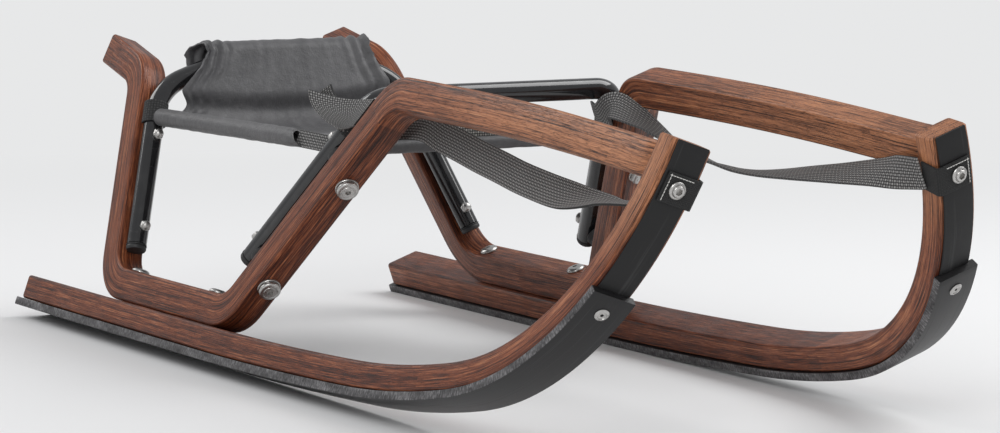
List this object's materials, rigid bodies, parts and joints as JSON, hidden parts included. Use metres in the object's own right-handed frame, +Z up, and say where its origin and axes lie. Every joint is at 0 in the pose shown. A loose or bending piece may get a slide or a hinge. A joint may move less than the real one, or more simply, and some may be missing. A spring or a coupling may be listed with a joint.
{
  "type": "sport sled",
  "caption": "Low bentwood sport sled with two leaning side frames on flat plastic soles, black tube hoops, a leather sling seat and webbing straps to the runner tops",
  "frame": {"origin": "centre of the footprint on the floor", "axes": "+X forward along the sled, +Y to its left, +Z up"},
  "size_m": [1.1764, 0.4952, 0.3016],
  "materials": {
    "wood": "reddish brown stained laminated hardwood, satin oil",
    "sole": "black plastic with sawn grey edges",
    "tube": "gloss black coated steel tube",
    "steel": "bright stainless fasteners",
    "rubber": "black rubber",
    "leather": "dark grey coated sling leather",
    "webbing": "dark grey woven webbing"
  },
  "bodies": {
    "root": {"bush_high_left": "rubber", "bush_high_right": "rubber", "bush_low_left": "rubber", "bush_low_right": "rubber", "carrier_left": "wood", "carrier_right": "wood", "facing_left": "sole", "facing_right": "sole", "foot_screw_front_left": "steel", "foot_screw_front_right": "steel", "foot_screw_rear_left": "steel", "foot_screw_rear_right": "steel", "front_hoop": "tube", "front_leg_cap_left": "rubber", "front_leg_cap_right": "rubber", "front_webbing": "webbing", "hem_webbing_left": "webbing", "hem_webbing_right": "webbing", "rear_band_left": "webbing", "rear_band_right": "webbing", "rear_hoop": "tube", "rear_leg_cap_left": "rubber", "rear_leg_cap_right": "rubber", "runner_left": "wood", "runner_right": "wood", "seat_front_hem": "leather", "seat_leather": "leather", "side_hem_left": "leather", "side_hem_right": "leather", "sole_left": "sole", "sole_right": "sole", "sole_screw_left": "steel", "sole_screw_right": "steel", "strap_bolt_left": "steel", "strap_bolt_right": "steel", "strap_left": "webbing", "strap_patch_left": "webbing", "strap_patch_right": "webbing", "strap_right": "webbing", "strap_tail_left": "webbing", "strap_tail_right": "webbing", "strut_bolt_high_left": "steel", "strut_bolt_high_right": "steel", "strut_bolt_low_left": "steel", "strut_bolt_low_right": "steel", "upright_bolt_high_left": "steel", "upright_bolt_high_right": "steel", "upright_bolt_low_left": "steel", "upright_bolt_low_right": "steel", "webbing_loop_left": "webbing", "webbing_loop_right": "webbing"}
  },
  "joints": []
}
